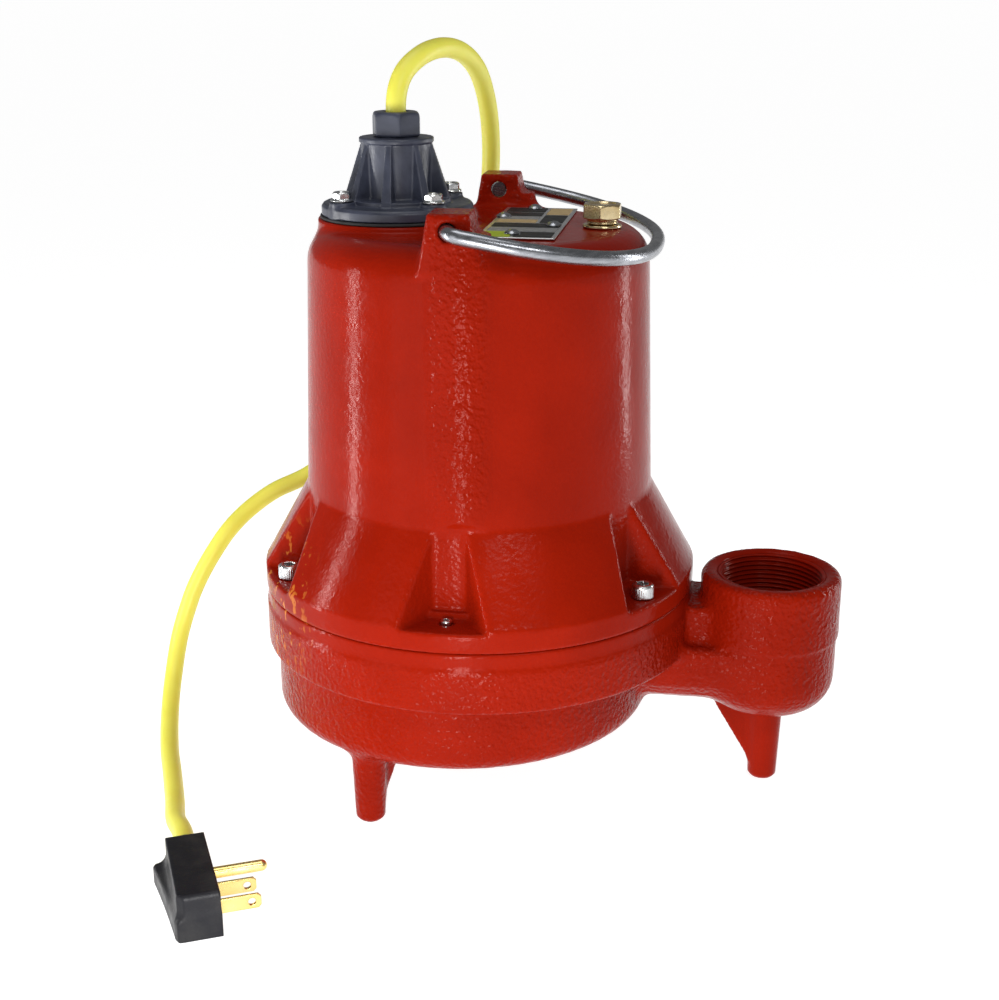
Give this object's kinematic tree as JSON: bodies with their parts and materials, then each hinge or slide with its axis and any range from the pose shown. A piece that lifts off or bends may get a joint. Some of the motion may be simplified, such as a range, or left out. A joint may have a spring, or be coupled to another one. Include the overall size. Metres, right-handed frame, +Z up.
{
  "type": "submersible sump pump",
  "caption": "Submersible sump pump: enamelled iron motor housing on a volute casing with a vertical threaded discharge, short legs, a wire bail handle and a power cord with plug.",
  "frame": {"origin": "on the surface the feet stand on, under the middle of the pump without its cord", "axes": "+Z up along the motor axis, +X from the motor towards the discharge"},
  "size_m": [0.3378, 0.2792, 0.338],
  "materials": {
    "red_enamel": "glossy orange-red enamel over cast iron",
    "bare_iron": "machined and as-cast iron",
    "zinc_plated": "bright zinc plate",
    "stainless": "polished stainless steel",
    "bearing_steel": "ground steel",
    "lamination_steel": "stacked laminations",
    "copper_winding": "varnished copper wire",
    "brass": "plain machined brass",
    "bare_aluminium": "plain sheet aluminium",
    "black_nylon": "satin glass-filled nylon",
    "black_vinyl": "satin moulded vinyl",
    "black_rubber": "matt nitrile rubber",
    "yellow_jacket": "satin yellow cord jacket",
    "ceramic": "lapped ceramic",
    "carbon": "lapped carbon",
    "lead_black": "insulated wire",
    "lead_white": "insulated wire",
    "lead_green": "insulated wire"
  },
  "bodies": {
    "pump": {"volute_casing": "red_enamel", "motor_housing": "red_enamel", "casing_bolt_1": "zinc_plated", "casing_bolt_2": "zinc_plated", "casing_bolt_3": "zinc_plated", "set_screw_1": "zinc_plated", "set_screw_2": "zinc_plated", "set_screw_3": "zinc_plated", "bearing_plate": "bare_iron", "housing_o_ring": "black_rubber", "seal_seat": "ceramic", "lower_bearing_outer_ring": "bearing_steel", "upper_bearing_outer_ring": "bearing_steel", "wave_washer": "stainless", "stator_core": "lamination_steel", "winding_lower": "copper_winding", "winding_upper": "copper_winding", "run_capacitor": "bare_aluminium", "capacitor_strap": "zinc_plated", "thermal_protector": "black_nylon", "motor_lead_1": "lead_black", "motor_lead_2": "lead_white", "motor_lead_3": "lead_green", "cord_entry_plate": "black_nylon", "cord_plate_gasket": "black_rubber", "cord_grommet": "black_rubber", "compression_nut": "black_nylon", "cord_plate_screw_1": "zinc_plated", "cord_plate_screw_2": "zinc_plated", "cord_plate_screw_3": "zinc_plated", "cord_plate_screw_4": "zinc_plated", "oil_fill_plug": "brass", "oil_plug_washer": "brass", "nameplate": "bare_aluminium", "nameplate_pin_1": "stainless", "nameplate_pin_2": "stainless", "nameplate_pin_3": "stainless", "nameplate_pin_4": "stainless", "power_cord": "yellow_jacket", "plug_body": "black_vinyl", "plug_blade_1": "brass", "plug_blade_2": "brass", "plug_ground_pin": "brass"},
    "rotor": {"shaft": "stainless", "rotor_core": "lamination_steel", "impeller": "bare_iron", "impeller_nut": "stainless", "lower_bearing_inner_ring": "bearing_steel", "lower_bearing_balls": "bearing_steel", "upper_bearing_inner_ring": "bearing_steel", "upper_bearing_balls": "bearing_steel", "seal_face": "carbon", "seal_spring": "stainless", "seal_retainer": "stainless"},
    "handle": {"handle_bail": "stainless"}
  },
  "joints": [
    {"name": "shaft_spin", "type": "hinge", "parent": "pump", "child": "rotor", "pos_m": [-0.034, 0, 0.16], "axis": [0, 0, 1], "continuous": true},
    {"name": "handle_pivot", "type": "hinge", "parent": "pump", "child": "handle", "pos_m": [-0.034, 0, 0.2682], "axis": [0, -1, 0], "range_deg": [0, 98]}
  ]
}
